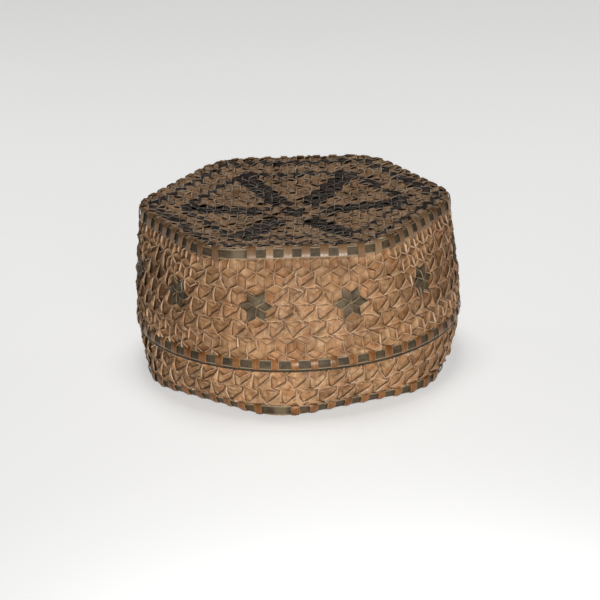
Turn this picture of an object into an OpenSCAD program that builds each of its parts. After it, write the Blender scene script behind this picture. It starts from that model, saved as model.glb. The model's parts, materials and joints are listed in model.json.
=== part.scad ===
// Six-sided plaited box with a deep lift-off lid.
// The base stands on its floor and the axis of the box is Z.
// Both walls are two plaited layers, six-sided at the closed end and round at the open rim.

/* [Base] */
// Half width of the floor across its flats
base_flat = 73; // [68:0.5:78]
// Corner rounding of the floor
base_corner = 23; // [16:1:30]
// Radius of the base's belly, where the wall has become round
base_belly_r = 82; // [80:0.5:86]
// Height of the belly above the table
base_belly_z = 18; // [14:0.5:22]
// How fast the wall leaves the six-sided floor
base_flare = 1.6; // [1.2:0.1:2.4]
// Radius of the base wall where the lid's rim surrounds it
base_neck_r = 80.8; // [78:0.2:81.6]
// Height of the base wall's rim
base_h = 69; // [60:0.5:74]
// Turn of the base under the lid, in degrees
base_turn = 23; // [-30:1:30]

/* [Lid] */
// Half width of the lid's top across its flats
lid_flat = 72.4; // [70:0.2:76]
// Corner rounding of the lid's top
lid_corner = 28; // [18:1:34]
// Height of the lid's lower edge above the table
lid_rim_z = 26; // [25:0.2:32]
// Height of the lid from its lower edge to the edge of its top
lid_h = 60.6; // [55:0.2:66]
// How fast the wall swells from the top to the round rim
lid_flare = 1.4; // [1.2:0.1:2]
// Depth of the dish in the lid's top
lid_sag = 7.5; // [4:0.5:9]
// How evenly the dish falls from the edge to the centre
dish_power = 1.4; // [1:0.1:2]
// Clearance between the lid and the base
lid_clearance = 0.4; // [0.3:0.05:0.8]

/* [Plait] */
// Thickness of the outer plaited layer
plait_t = 1.5; // [1:0.1:2]
// Thickness of the lining
lining_t = 0.8; // [0.6:0.1:1.2]
// Room between the two layers
layer_gap = 0.15; // [0.1:0.05:0.3]

/* [Edge bands] */
// Width of the dark strip along an edge
strip_w = 5; // [4:0.1:6]
// Thickness of the dark strip
strip_t = 0.4; // [0.3:0.05:0.6]
// Width of a tan strip end folded over the edge
wrap_w = 4.4; // [3:0.1:5.5]
// Thickness of a folded strip end
wrap_t = 0.4; // [0.3:0.05:0.6]
// Folded strip ends along one side of the box
wraps_per_side = 9; // [6:1:10]
// Length of a folded end on the lid's top
wrap_top_leg = 2.6; // [1.5:0.1:3.2]
// Length of a folded end inside a rim
wrap_inner_leg = 5; // [3:0.5:7]
// Room between a strip and what it lies on
seat_gap = 0.12; // [0.1:0.02:0.25]
// Room of a folded end round the base's edge, where the wall twists under it
edge_room = 0.46; // [0.4:0.02:0.6]
// Height of the base's edge band above the table
edge_lift = 0.3; // [0.2:0.1:0.8]

/* [Overlay pattern] */
// Thickness of the overlay strips
overlay_t = 0.35; // [0.2:0.05:0.5]
// Width of the overlay rings on the top
ring_w = 5; // [3:0.2:6]
// Half width across flats of the outer ring's middle
outer_ring_flat = 65.4; // [64:0.2:65.8]
// Half width across flats of the inner ring's middle
inner_ring_flat = 49.8; // [46:0.2:53]
// Width of a spoke
spoke_w = 9; // [6:0.2:10]
// Distance of a spoke's inner end from the axis
spoke_from = 14; // [12:0.5:16]
// Room between a spoke's outer end and the inner ring
spoke_gap = 1.2; // [0.5:0.1:6]
// Radius of a star, from its middle to a tip
star_r = 8.4; // [6:0.2:9]
// Height of the stars above the lid's lower edge
star_rise = 32.4; // [24:0.2:36]
// Places of the stars along the wall, in folded ends counted from the front
star_places = [-12, -7, -2, 3, 8, 13, 18, 23, 28, 33, 38];

/* [Hidden] */

sides = 6;
side_angle = 360 / sides;
half_side = side_angle / 2;
front_angle = -90;
around = 72;
strip_around = 144;
wall_steps = 6;
foot_steps = 3;
dish_rings = 4;
wraps_all = sides * wraps_per_side;
round_fn = 96;

tan_leaf = [0.76, 0.6, 0.44];
dark_leaf = [0.3, 0.31, 0.27];
lining_leaf = [0.68, 0.55, 0.4];

// How much nearer to a flat the long edges of a spoke lie than its middle
spoke_rise = spoke_w / 2 * sin(half_side);

// Depths below a wall's outer face at which the lining starts and ends
lining_in = plait_t + layer_gap;
lining_out = lining_in + lining_t;

// Heights outside an edge face at which a folded strip end starts and ends
wrap_in = seat_gap + strip_t + seat_gap;
wrap_out = wrap_in + wrap_t;

// The lid's edges
lid_top_z = lid_rim_z + lid_h;
lid_wall_z0 = lid_rim_z + wrap_t + seat_gap;
lid_wall_z1 = dish_at(lid_flat - plait_t) - plait_t - layer_gap;
lid_lining_z1 = dish_at(lid_flat - lining_out) - plait_t - lining_t - 2 * layer_gap;
top_foot_z = lid_top_z - strip_w - seat_gap - wrap_t;
lid_rim_r = base_neck_r + lid_clearance + wrap_t + seat_gap + lining_out;

// The outer end of a spoke, which lies along a corner of the dish
spoke_to = (inner_ring_flat - ring_w / 2 - spoke_gap - spoke_rise) / cos(half_side);

// The base's edges
base_wall_z0 = plait_t + layer_gap;
base_lining_z0 = base_wall_z0 + lining_t + layer_gap;
base_wall_z1 = base_h - wrap_t - seat_gap;
base_rim_r = lid_section(base_h)[0] - lining_out - lid_clearance - wrap_out;

// The base's edge band, on the low foot of each folded end
edge_z0 = edge_lift + wrap_t + seat_gap;
edge_z1 = edge_z0 + strip_w;
edge_mid = (edge_z0 + edge_z1) / 2;
edge_seat = edge_room / 2;

// Section of the lid at a height: half width across flats, corner rounding
function lid_section(z) =
    let (k = pow(max(0, min(1, (z - lid_rim_z) / lid_h)), lid_flare))
    [lid_rim_r + (lid_flat - lid_rim_r) * k, lid_rim_r + (lid_corner - lid_rim_r) * k];

// Section of the base at a height: flared foot, round belly, neck and tapering upper wall
function base_foot(z) =
    let (k = pow(max(0, 1 - z / base_belly_z), base_flare))
    [base_belly_r + (base_flat - base_belly_r) * k, base_belly_r + (base_corner - base_belly_r) * k];
function base_waist(z) =
    let (k = pow((z - base_belly_z) / (lid_rim_z - base_belly_z), 2))
    let (r = base_belly_r + (base_neck_r - base_belly_r) * k)
    [r, r];
function base_upper(z) =
    let (k = (z - lid_rim_z) / (base_h - lid_rim_z))
    let (r = base_neck_r + (base_rim_r - base_neck_r) * k)
    [r, r];
function base_section(z) =
    z < base_belly_z ? base_foot(z) : z < lid_rim_z ? base_waist(z) : base_upper(z);

// Radius of a rounded hexagon at an angle, with corners at multiples of the side angle
function from_flat(a) = half_side - abs(a - side_angle * round(a / side_angle));
function hex_r(a, flat, corner) =
    let (t = from_flat(a), c = flat - corner, cy = c * tan(half_side))
    flat * tan(t) <= cy
        ? flat / cos(t)
        : c * cos(t) + cy * sin(t) + sqrt(max(0, pow(corner, 2) - pow(c * sin(t) - cy * cos(t), 2)));
function hex_ring(flat, corner, n = around) =
    [for (i = [0 : n - 1]) let (a = 360 * i / n) hex_r(a, flat, corner) * [cos(a), sin(a)]];

// A place along one side: position across the flat, along it, and the angle of the face there
function side_len(flat, corner) = 2 * (flat - corner) * tan(half_side) + corner * PI * side_angle / 180;
function side_place(s, flat, corner) =
    let (h = (flat - corner) * tan(half_side), over = max(0, abs(s) - h), a = over / corner * 180 / PI)
    over == 0
        ? [flat, s, 0]
        : [flat - corner + corner * cos(a), sign(s) * (h + corner * sin(a)), sign(s) * a];

// A closed band of rings, each [half width across flats, corner rounding, height]
module ring_loft(rings, n = around) {
    m = len(rings);
    pts = [for (g = rings) for (p = hex_ring(g[0], g[1], n)) [p[0], p[1], g[2]]];
    faces = [for (j = [0 : m - 1]) for (i = [0 : n - 1])
        let (u = j * n, v = (j + 1) % m * n, k = (i + 1) % n, falls = rings[(j + 1) % m][2] < rings[j][2])
        each falls ? [[u + i, v + i, u + k], [v + i, v + k, u + k]]
                   : [[u + i, v + i, v + k], [u + i, v + k, u + k]]];
    polyhedron(points = pts, faces = faces);
}

// A wall layer between two depths below a section's outer face
function layer_rings(levels, depth, secs) =
    [for (i = [0 : len(levels) - 1]) [secs[i][0] - depth, secs[i][1] - depth, levels[i]]];
module wall_layer(levels, secs, d0, d1, n = around) {
    outer = layer_rings(levels, d0, secs);
    inner = layer_rings(levels, d1, secs);
    last = len(levels) - 1;
    ring_loft(concat(outer, [for (i = [0 : last]) inner[last - i]]), n);
}
function levels_between(z0, z1, steps) = [for (i = [0 : steps]) z0 + (z1 - z0) * i / steps];

// Levels of the two wall layers, the same ones in both so that they keep their distance
function base_levels(z0) =
    concat([z0, edge_mid],
           levels_between(edge_z1, base_belly_z, foot_steps),
           [(base_belly_z + lid_rim_z) / 2, lid_rim_z, base_wall_z1]);
function lid_levels(z1) = concat(levels_between(lid_wall_z0, top_foot_z, wall_steps), [z1]);

// Height of the dished top at a share of the way from the axis to its edge
function dish(f) = lid_top_z - lid_sag * (1 - pow(f, dish_power));
function dish_at(flat) = dish(flat / lid_flat);

// A dished plate that hangs a depth below the dish
module dished_plate(flat, corner, depth, t) {
    edge = around * dish_rings;
    fs = [for (j = [1 : dish_rings]) j / dish_rings];
    top = [for (f = fs) for (p = hex_ring(flat * f, corner * f)) [p[0], p[1], dish_at(flat * f) - depth]];
    low = [for (p = top) [p[0], p[1], p[2] - t]];
    pts = concat(top, low, [[0, 0, dish(0) - depth], [0, 0, dish(0) - depth - t]]);
    top_mid = 2 * edge;
    low_mid = top_mid + 1;
    top_rows = [for (j = [0 : dish_rings - 2]) for (i = [0 : around - 1])
        let (k = (i + 1) % around, a = j * around + i, b = j * around + k)
        each [[a, b, b + around], [a, b + around, a + around]]];
    low_rows = [for (f = top_rows) [f[0] + edge, f[2] + edge, f[1] + edge]];
    rim = edge - around;
    rim_faces = [for (i = [0 : around - 1]) let (k = (i + 1) % around)
        each [[edge + rim + i, rim + i, rim + k], [edge + rim + i, rim + k, edge + rim + k]]];
    mids = [for (i = [0 : around - 1]) let (k = (i + 1) % around)
        each [[top_mid, k, i], [low_mid, edge + i, edge + k]]];
    polyhedron(points = pts, faces = concat(top_rows, low_rows, rim_faces, mids));
}

// A ring of overlay strip on the dished top
module overlay_ring(flat) {
    corner = lid_corner * flat / lid_flat;
    half = ring_w / 2;
    lift = seat_gap + overlay_t;
    ring_loft([[flat + half, corner + half, dish_at(flat + half) + seat_gap],
               [flat + half, corner + half, dish_at(flat + half) + lift],
               [flat - half, corner - half, dish_at(flat - half) + lift],
               [flat - half, corner - half, dish_at(flat - half) + seat_gap]]);
}

// Outline of a six-pointed star of six rhombs
module star_outline() {
    polygon([for (i = [0 : 2 * sides - 1])
        (i % 2 == 0 ? star_r : star_r / sqrt(3)) * [cos(half_side * i), sin(half_side * i)]]);
}

// A folded strip end: its side view, extruded to the strip's width
module folded(pts) {
    rotate([90, 0, 0])
        linear_extrude(wrap_w, center = true)
            polygon(pts);
}

// Places one child per folded end along the six sides of an outline, facing outwards
module along_sides(flat, corner) {
    step = side_len(flat, corner) / wraps_per_side;
    for (k = [0 : sides - 1])
        for (j = [0 : wraps_per_side - 1]) {
            p = side_place((j - (wraps_per_side - 1) / 2) * step, flat, corner);
            rotate([0, 0, half_side + side_angle * k])
                translate([p[0], p[1], 0])
                    rotate([0, 0, p[2]]) {
                        $place = p;
                        children();
                    }
        }
}
module round_rim() {
    for (i = [0 : wraps_all - 1])
        rotate([0, 0, 360 * i / wraps_all])
            children();
}

// How far a section reaches beyond a place along a side, over the width of a folded end
function lean(p, sec) = max([for (y = [-wrap_w / 2, 0, wrap_w / 2])
    let (x = p[0] - y * sin(p[2]), v = p[1] + y * cos(p[2]), q = atan2(v, x))
    (hex_r(half_side + q, sec[0], sec[1]) - norm([x, v])) / cos(q - p[2])]);

// Base

module base_floor() {
    color(tan_leaf)
        rotate([0, 0, base_turn])
            linear_extrude(plait_t)
                polygon(hex_ring(base_flat, base_corner));
}

module base_floor_lining() {
    sec = base_section(base_wall_z0);
    color(lining_leaf)
        rotate([0, 0, base_turn])
            translate([0, 0, base_wall_z0])
                linear_extrude(lining_t)
                    polygon(hex_ring(sec[0] - lining_in, sec[1] - lining_in));
}

module base_wall() {
    levels = base_levels(base_wall_z0);
    color(tan_leaf)
        rotate([0, 0, base_turn])
            wall_layer(levels, [for (z = levels) base_section(z)], 0, plait_t);
}

module base_wall_lining() {
    levels = base_levels(base_lining_z0);
    color(lining_leaf)
        rotate([0, 0, base_turn])
            wall_layer(levels, [for (z = levels) base_section(z)], lining_in, lining_out);
}

module base_edge_strip() {
    levels = levels_between(edge_z0, edge_z1, 2);
    secs = [for (z = levels) base_section(z)];
    color(dark_leaf)
        rotate([0, 0, base_turn])
            wall_layer(levels, secs, -edge_seat - strip_t, -edge_seat, strip_around);
}

module base_edge_wraps() {
    low = base_section(edge_lift);
    mid = base_section(edge_mid);
    high = base_section(edge_z1 + seat_gap + wrap_t);
    top = edge_z1 + seat_gap;
    foot = edge_room;
    inner = edge_seat + strip_t + edge_room;
    outer = inner + wrap_t;
    color(tan_leaf)
        rotate([0, 0, base_turn])
            along_sides(mid[0], mid[1]) {
                a = lean($place, low);
                b = lean($place, high);
                folded([[a + foot, edge_lift], [a + outer, edge_lift], [outer, edge_mid],
                        [b + outer, top + wrap_t], [b + foot, top + wrap_t], [b + foot, top],
                        [b + inner, top], [inner, edge_mid], [a + inner, edge_lift + wrap_t],
                        [a + foot, edge_lift + wrap_t]]);
            }
}

// The base's rim band
rim_strip_z1 = base_wall_z1;
rim_strip_z0 = rim_strip_z1 - strip_w;

module base_rim_strip() {
    r0 = base_section(rim_strip_z0)[0] + seat_gap;
    r1 = base_section(rim_strip_z1)[0] + seat_gap;
    color(dark_leaf)
        rotate_extrude($fn = round_fn)
            polygon([[r0, rim_strip_z0], [r0 + strip_t, rim_strip_z0], [r1 + strip_t, rim_strip_z1],
                     [r1, rim_strip_z1]]);
}

module base_rim_wraps() {
    foot_z = rim_strip_z0 - seat_gap - wrap_t;
    r0 = base_section(foot_z)[0];
    r1 = base_section(base_h)[0];
    in_z = base_wall_z1 - wrap_inner_leg;
    in_r = base_section(in_z)[0] - lining_out - seat_gap;
    top_r = r1 - lining_out - seat_gap;
    color(tan_leaf)
        rotate([0, 0, base_turn])
            round_rim()
                folded([[r0 + seat_gap, foot_z], [r0 + wrap_out, foot_z], [r1 + wrap_out, base_h],
                        [top_r - wrap_t, base_h], [in_r - wrap_t, in_z], [in_r, in_z],
                        [top_r, base_h - wrap_t], [r1 + wrap_in, base_h - wrap_t],
                        [r0 + wrap_in, foot_z + wrap_t], [r0 + seat_gap, foot_z + wrap_t]]);
}

// Lid

module lid_top() {
    color(tan_leaf)
        dished_plate(lid_flat, lid_corner, 0, plait_t);
}

module lid_top_lining() {
    sec = lid_section(lid_wall_z1);
    color(lining_leaf)
        dished_plate(sec[0] - lining_in, sec[1] - lining_in, plait_t + layer_gap, lining_t);
}

module lid_wall() {
    levels = lid_levels(lid_wall_z1);
    color(tan_leaf)
        wall_layer(levels, [for (z = levels) lid_section(z)], 0, plait_t);
}

module lid_wall_lining() {
    levels = lid_levels(lid_lining_z1);
    color(lining_leaf)
        wall_layer(levels, [for (z = levels) lid_section(z)], lining_in, lining_out);
}

module lid_top_edge_strip() {
    levels = [lid_top_z - strip_w, lid_wall_z1, lid_top_z];
    color(dark_leaf)
        wall_layer(levels, [for (z = levels) lid_section(z)], -seat_gap - strip_t, -seat_gap, strip_around);
}

module lid_top_edge_wraps() {
    high = lid_section(lid_top_z);
    foot_z = lid_top_z - strip_w - seat_gap - wrap_t;
    low = lid_section(foot_z);
    top = lid_top_z + seat_gap;
    color(tan_leaf)
        along_sides(high[0], high[1]) {
            b = lean($place, low);
            folded([[-wrap_top_leg, top], [wrap_in, top], [b + wrap_in, foot_z + wrap_t],
                    [b + seat_gap, foot_z + wrap_t], [b + seat_gap, foot_z], [b + wrap_out, foot_z],
                    [wrap_out, top + wrap_t], [-wrap_top_leg, top + wrap_t]]);
        }
}

module lid_rim_strip() {
    head = lid_section(lid_wall_z0 + strip_w);
    r0 = lid_rim_r + seat_gap;
    r1 = hex_r(0, head[0], head[1]) + seat_gap;
    color(dark_leaf)
        rotate_extrude($fn = round_fn)
            polygon([[r0, lid_wall_z0], [r0 + strip_t, lid_wall_z0],
                     [r1 + strip_t, lid_wall_z0 + strip_w], [r1, lid_wall_z0 + strip_w]]);
}

module lid_rim_wraps() {
    head_z = lid_wall_z0 + strip_w + seat_gap;
    head = lid_section(head_z + wrap_t);
    head_r = hex_r(0, head[0], head[1]);
    in_z = lid_wall_z0 + wrap_inner_leg;
    in_r = lid_rim_r - lining_out - seat_gap;
    in_top = lid_section(in_z)[0] - lining_out - edge_room;
    color(tan_leaf)
        round_rim()
            folded([[in_r, lid_rim_z + wrap_t], [lid_rim_r + wrap_in, lid_rim_z + wrap_t],
                    [head_r + wrap_in, head_z], [head_r + seat_gap, head_z],
                    [head_r + seat_gap, head_z + wrap_t], [head_r + wrap_out, head_z + wrap_t],
                    [lid_rim_r + wrap_out, lid_rim_z], [in_r - wrap_t, lid_rim_z],
                    [in_top - wrap_t, in_z], [in_top, in_z]]);
}

module lid_wall_stars() {
    z = lid_rim_z + star_rise;
    sec = lid_section(z);
    low = lid_section(z - star_r);
    high = lid_section(z + star_r);
    step = side_len(sec[0], sec[1]) / wraps_per_side;
    color(dark_leaf)
        for (place = star_places) {
            side = round(place / wraps_per_side);
            p = side_place((place - side * wraps_per_side) * step, sec[0], sec[1]);
            slope = atan2(lean(p, low) - lean(p, high), 2 * star_r);
            rotate([0, 0, front_angle + side_angle * side])
                translate([p[0], p[1], z])
                    rotate([0, 0, p[2]])
                        rotate([0, 90 - slope, 0])
                            translate([0, 0, seat_gap])
                                linear_extrude(overlay_t)
                                    rotate([0, 0, half_side])
                                        star_outline();
        }
}

module lid_top_outer_ring() {
    color(dark_leaf)
        overlay_ring(outer_ring_flat);
}

module lid_top_inner_ring() {
    color(dark_leaf)
        overlay_ring(inner_ring_flat);
}

module lid_top_spokes() {
    run = spoke_to - spoke_from;
    z0 = dish_at(spoke_from * cos(half_side) + spoke_rise);
    z1 = dish_at(spoke_to * cos(half_side) + spoke_rise);
    color(dark_leaf)
        for (k = [0 : sides - 1])
            rotate([0, 0, side_angle * k])
                translate([spoke_from, 0, z0 + seat_gap])
                    rotate([0, -atan2(z1 - z0, run), 0])
                        linear_extrude(overlay_t)
                            polygon([[0, 0], [spoke_w / 2, -spoke_w / 2], [run, -spoke_w / 2],
                                     [run, spoke_w / 2], [spoke_w / 2, spoke_w / 2]]);
}

module lid_top_star() {
    color(dark_leaf)
        translate([0, 0, dish_at(star_r) + seat_gap])
            linear_extrude(overlay_t)
                star_outline();
}

base_floor();
base_floor_lining();
base_wall();
base_wall_lining();
base_edge_strip();
base_edge_wraps();
base_rim_strip();
base_rim_wraps();
lid_top();
lid_top_lining();
lid_wall();
lid_wall_lining();
lid_top_edge_strip();
lid_top_edge_wraps();
lid_rim_strip();
lid_rim_wraps();
lid_wall_stars();
lid_top_outer_ring();
lid_top_inner_ring();
lid_top_spokes();
lid_top_star();
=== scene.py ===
# %% [markdown]
# # A plaited box with a deep lid
# The box is plaited from narrow dried leaf strips that run in three directions, so its walls and top show a
# pattern of rhombs like tumbling blocks. Over much of the wall a second set of strips is folded up into
# small three-cornered tents. The solids of the part are loaded first, as a fixed frame, and every piece
# made here stands where its solid stands.

# %% Load the solids
import json
from math import cos, pi, radians, sin, sqrt, tan

import bmesh
import bpy
import numpy as np
from mathutils import Matrix, Vector

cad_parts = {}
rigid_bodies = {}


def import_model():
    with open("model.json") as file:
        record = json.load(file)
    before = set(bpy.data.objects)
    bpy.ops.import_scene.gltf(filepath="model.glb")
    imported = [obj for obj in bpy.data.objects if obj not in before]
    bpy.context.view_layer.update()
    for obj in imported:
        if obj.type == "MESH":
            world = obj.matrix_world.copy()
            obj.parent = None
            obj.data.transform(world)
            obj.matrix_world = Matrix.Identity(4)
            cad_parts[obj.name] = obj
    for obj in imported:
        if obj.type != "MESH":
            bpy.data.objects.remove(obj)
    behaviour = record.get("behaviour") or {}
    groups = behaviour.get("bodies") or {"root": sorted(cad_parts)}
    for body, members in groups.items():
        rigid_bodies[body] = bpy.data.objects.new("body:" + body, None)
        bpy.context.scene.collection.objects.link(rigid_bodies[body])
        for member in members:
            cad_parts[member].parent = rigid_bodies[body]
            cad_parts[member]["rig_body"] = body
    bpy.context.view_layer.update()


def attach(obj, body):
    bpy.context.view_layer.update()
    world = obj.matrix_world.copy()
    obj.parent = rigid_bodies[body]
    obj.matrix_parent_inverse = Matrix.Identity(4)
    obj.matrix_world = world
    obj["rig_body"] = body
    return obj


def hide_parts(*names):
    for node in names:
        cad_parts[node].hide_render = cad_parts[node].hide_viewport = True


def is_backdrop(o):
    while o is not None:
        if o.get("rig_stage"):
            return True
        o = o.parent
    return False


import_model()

scene = bpy.context.scene
scene.view_settings.view_transform = "Standard"
MM = 0.001

# %% [markdown]
# ## The camera
# The camera could be set by eye, but the corners of the six-sided top give enough points to solve for it.
# The values below come from that fit: a long lens from a little above, turned by two degrees about its own
# axis.

# %% Place the camera
EYE = Vector((30.6, -1171.9, 484.0)) * MM
AIM = Vector((0.9, 0.0, 30.9)) * MM
LENS = 143.0
SENSOR = 36.0
ROLL = radians(-2.23)
FAR = 20.0

ahead = (AIM - EYE).normalized()
sideways = ahead.cross(Vector((0, 0, 1))).normalized()
upward = sideways.cross(ahead)
right = sideways * cos(ROLL) + upward * sin(ROLL)
top = upward * cos(ROLL) - sideways * sin(ROLL)
lens = bpy.data.cameras.new("camera")
lens.lens = LENS
lens.sensor_width = SENSOR
lens.clip_end = FAR
camera = bpy.data.objects.new("camera", lens)
camera.matrix_world = Matrix.Translation(EYE) @ Matrix((right, top, -ahead)).transposed().to_4x4()
scene.collection.objects.link(camera)
scene.camera = camera
print("camera", [round(v, 3) for v in EYE], "lens", LENS)

# %% [markdown]
# ## Light and floor
# Plain studio light: one lamp stands low and near in front, so the walls are bright there and fall off
# towards the sides. Two weak lamps stand low behind the box, left and right, and pick out the lips of the
# strips on its sides. One lamp hangs above the top, and the world adds a dim even light. The floor is pale
# to the eye and in reflections, keeps the box's shadow, and throws little light back on the box.

# %% Light the box
LAMP_AIM = Vector((0, 0, 0.045))
WORLD_COLOUR, WORLD_LIGHT = (1.0, 0.98, 0.96, 1), 0.036


def lamp(name, place, size, watts, shines=False):
    data = bpy.data.lights.new(name, "AREA")
    data.shape = "DISK"
    data.size = size
    data.energy = watts
    item = bpy.data.objects.new(name, data)
    item.location = place
    item.rotation_euler = (LAMP_AIM - Vector(place)).to_track_quat("-Z", "Y").to_euler()
    item.visible_camera = False
    item.visible_glossy = shines
    scene.collection.objects.link(item)


lamp("front_lamp", (0.05, -0.44, 0.042), size=0.12, watts=1.28, shines=True)
lamp("left_lamp", (-0.8, 0.5, 0.12), size=0.2, watts=1.5)
lamp("right_lamp", (0.8, 0.55, 0.14), size=0.2, watts=0.75)
lamp("top_lamp", (0.0, 0.08, 0.98), size=0.4, watts=3.9)

world = bpy.data.worlds.new("studio")
world.use_nodes = True
even = world.node_tree.nodes["Background"]
even.inputs["Color"].default_value = WORLD_COLOUR
even.inputs["Strength"].default_value = WORLD_LIGHT
scene.world = world

# %% Join nodes
def add(tree, kind, inputs=None, **settings):
    made = tree.nodes.new(kind)
    for key, value in settings.items():
        setattr(made, key, value)
    for key, value in (inputs or {}).items():
        feed(tree, made.inputs[key], value)
    return made


def feed(tree, socket, value):
    if isinstance(value, bpy.types.NodeSocket):
        tree.links.new(value, socket)
    else:
        socket.default_value = value


def maths(tree, a, b, operation="MULTIPLY"):
    return add(tree, "ShaderNodeMath", {0: a, 1: b}, operation=operation).outputs[0]


print("node helpers ready")

# %% Lay the floor
FLOOR_REACH = 4.0
FLOOR_COLOUR, FLOOR_GLOW, FLOOR_LEVEL = (0.62, 0.62, 0.61, 1), (1.0, 1.0, 0.99, 1), 0.52

floor_mesh = bpy.data.meshes.new("floor")
floor_mesh.from_pydata([(-FLOOR_REACH, -FLOOR_REACH, 0), (FLOOR_REACH, -FLOOR_REACH, 0),
                        (FLOOR_REACH, FLOOR_REACH, 0), (-FLOOR_REACH, FLOOR_REACH, 0)], [], [(0, 1, 2, 3)])
floor = bpy.data.objects.new("floor", floor_mesh)
scene.collection.objects.link(floor)
floor_paint = bpy.data.materials.new("pale_floor")
floor_paint.use_nodes = True
paint = floor_paint.node_tree
paint.nodes.clear()
path = add(paint, "ShaderNodeLightPath").outputs
seen = maths(paint, path["Is Camera Ray"], path["Is Glossy Ray"], "ADD")
seen = maths(paint, seen, path["Is Transmission Ray"], "ADD")
matt = add(paint, "ShaderNodeBsdfDiffuse", {"Color": FLOOR_COLOUR}).outputs[0]
level = maths(paint, seen, FLOOR_LEVEL)
glow = add(paint, "ShaderNodeEmission", {"Color": FLOOR_GLOW, "Strength": level}).outputs[0]
both = add(paint, "ShaderNodeAddShader", {0: matt, 1: glow}).outputs[0]
add(paint, "ShaderNodeOutputMaterial", {"Surface": both})
floor_mesh.materials.append(floor_paint)
floor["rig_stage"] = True
print("floor laid")

# %% [markdown]
# ## The box's surfaces
# Lid and base are both six-sided at their flat ends and round at the rim. One function gives the outline at
# a height as a half width across flats and a corner rounding, and another walks along that outline by
# column. All the plaiting is laid out flat first, in columns and rows, and is then rolled onto these
# surfaces, so strips always meet their neighbours. Lengths are in millimetres from here on.

# %% Outlines of lid and base
PER_SIDE = 9
COLUMNS = 6 * PER_SIDE
SIDE = radians(60)
FRONT = radians(-90)
LID_RIM_Z, LID_TOP_Z, LID_FLARE = 26.0, 86.6, 1.4
LID_RIM_R, LID_FLAT, LID_CORNER = 84.17, 72.4, 28.0
LID_SAG, DISH_POWER = 7.5, 1.4
BASE_FLAT, BASE_CORNER, BASE_BELLY_R, BASE_BELLY_Z, BASE_FLARE = 73.0, 23.0, 82.0, 18.0, 1.6
BASE_NECK_R, BASE_RIM_R, BASE_H = 80.8, 73.1, 69.0
BASE_TURN = radians(23)
PROBE = 0.5


def lid_section(z):
    k = np.clip((z - LID_RIM_Z) / (LID_TOP_Z - LID_RIM_Z), 0, 1) ** LID_FLARE
    return LID_RIM_R + (LID_FLAT - LID_RIM_R) * k, LID_RIM_R + (LID_CORNER - LID_RIM_R) * k


def base_section(z):
    k = np.clip(1 - z / BASE_BELLY_Z, 0, 1) ** BASE_FLARE
    waist = np.clip((z - BASE_BELLY_Z) / (LID_RIM_Z - BASE_BELLY_Z), 0, 1) ** 2
    upper = np.clip((z - LID_RIM_Z) / (BASE_H - LID_RIM_Z), 0, 1)
    drop = (BASE_NECK_R - BASE_BELLY_R) * waist + (BASE_RIM_R - BASE_NECK_R) * upper
    flat = BASE_BELLY_R + (BASE_FLAT - BASE_BELLY_R) * k
    corner = BASE_BELLY_R + (BASE_CORNER - BASE_BELLY_R) * k
    return flat + drop, corner + drop


def outline(col, flat, corner, turn):
    side = np.round(col / PER_SIDE)
    half = (flat - corner) * tan(SIDE / 2)
    s = (col / PER_SIDE - side) * (2 * half + corner * SIDE)
    bend = np.sign(s) * np.maximum(0, np.abs(s) - half) / corner
    x = np.where(bend == 0, flat, flat - corner + corner * np.cos(bend))
    y = np.where(bend == 0, s, np.sign(s) * half + corner * np.sin(bend))
    a = FRONT + turn + side * SIDE
    return x * np.cos(a) - y * np.sin(a), x * np.sin(a) + y * np.cos(a), a + bend


def wall_place(section, turn):
    def place(col, z, out):
        x, y, a = outline(col, *section(z), turn)
        x0, y0, _ = outline(col, *section(z - PROBE), turn)
        x1, y1, _ = outline(col, *section(z + PROBE), turn)
        lean = ((x1 - x0) * np.cos(a) + (y1 - y0) * np.sin(a)) / (2 * PROBE)
        far = out / np.sqrt(1 + lean ** 2)
        return np.stack([x + far * np.cos(a), y + far * np.sin(a), z - far * lean], -1)
    return place


lid_place = wall_place(lid_section, 0.0)
base_place = wall_place(base_section, BASE_TURN)
print("lid front at mid height", lid_place(np.array([0.0]), np.array([57.0]), np.array([0.0])).round(2))

# %% Dished top
FLATS = [radians(30 + 60 * k) for k in range(6)]
NEAR_MIDDLE = 1e-6


def flat_reach(x, y):
    return np.max([x * cos(a) + y * sin(a) for a in FLATS], axis=0)


def hex_radius(a, flat, corner):
    t = SIDE / 2 - np.abs(a - SIDE * np.round(a / SIDE))
    c = flat - corner
    cy = c * tan(SIDE / 2)
    aside = c * np.sin(t) - cy * np.cos(t)
    arc = c * np.cos(t) + cy * np.sin(t) + np.sqrt(np.maximum(0, corner ** 2 - aside ** 2))
    return np.where(flat * np.tan(t) <= cy, flat / np.cos(t), arc)


def kept_inside(x, y, flat, corner):
    r = np.hypot(x, y)
    k = np.minimum(1, hex_radius(np.arctan2(y, x), flat, corner) / np.maximum(r, NEAR_MIDDLE))
    return x * k, y * k


def dish(x, y):
    share = np.minimum(1, np.hypot(x, y) / hex_radius(np.arctan2(y, x), LID_FLAT, LID_CORNER))
    return LID_TOP_Z - LID_SAG * (1 - share ** DISH_POWER)


print("middle of the top at", dish(np.zeros(1), np.zeros(1)).round(2), "mm")

# %% [markdown]
# ## Leaf
# Every strip is dried leaf: tan, or dyed to a greenish black. A leaf has fine fibres along its length, a
# paler cut edge that also carries a painted highlight, painted shade where it dives under a neighbour or
# lies low, and no two strips have quite the same tone. The strips carry that as attributes of their own
# (fibre:
# millimetres across and along, edge_and_shade: edge paleness and painted shade, tone: one random number per
# strip), and one material function reads them.

# %% Leaf material
FIBRE_ACROSS, FIBRE_ALONG, FIBRE_SHIFT = 3.2, 0.16, 83.0
CLOUD_SCALE, MOTTLE_SCALE = 70.0, 420.0
SECOND_TONE, THIRD_TONE = 7.3, 23.9
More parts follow.
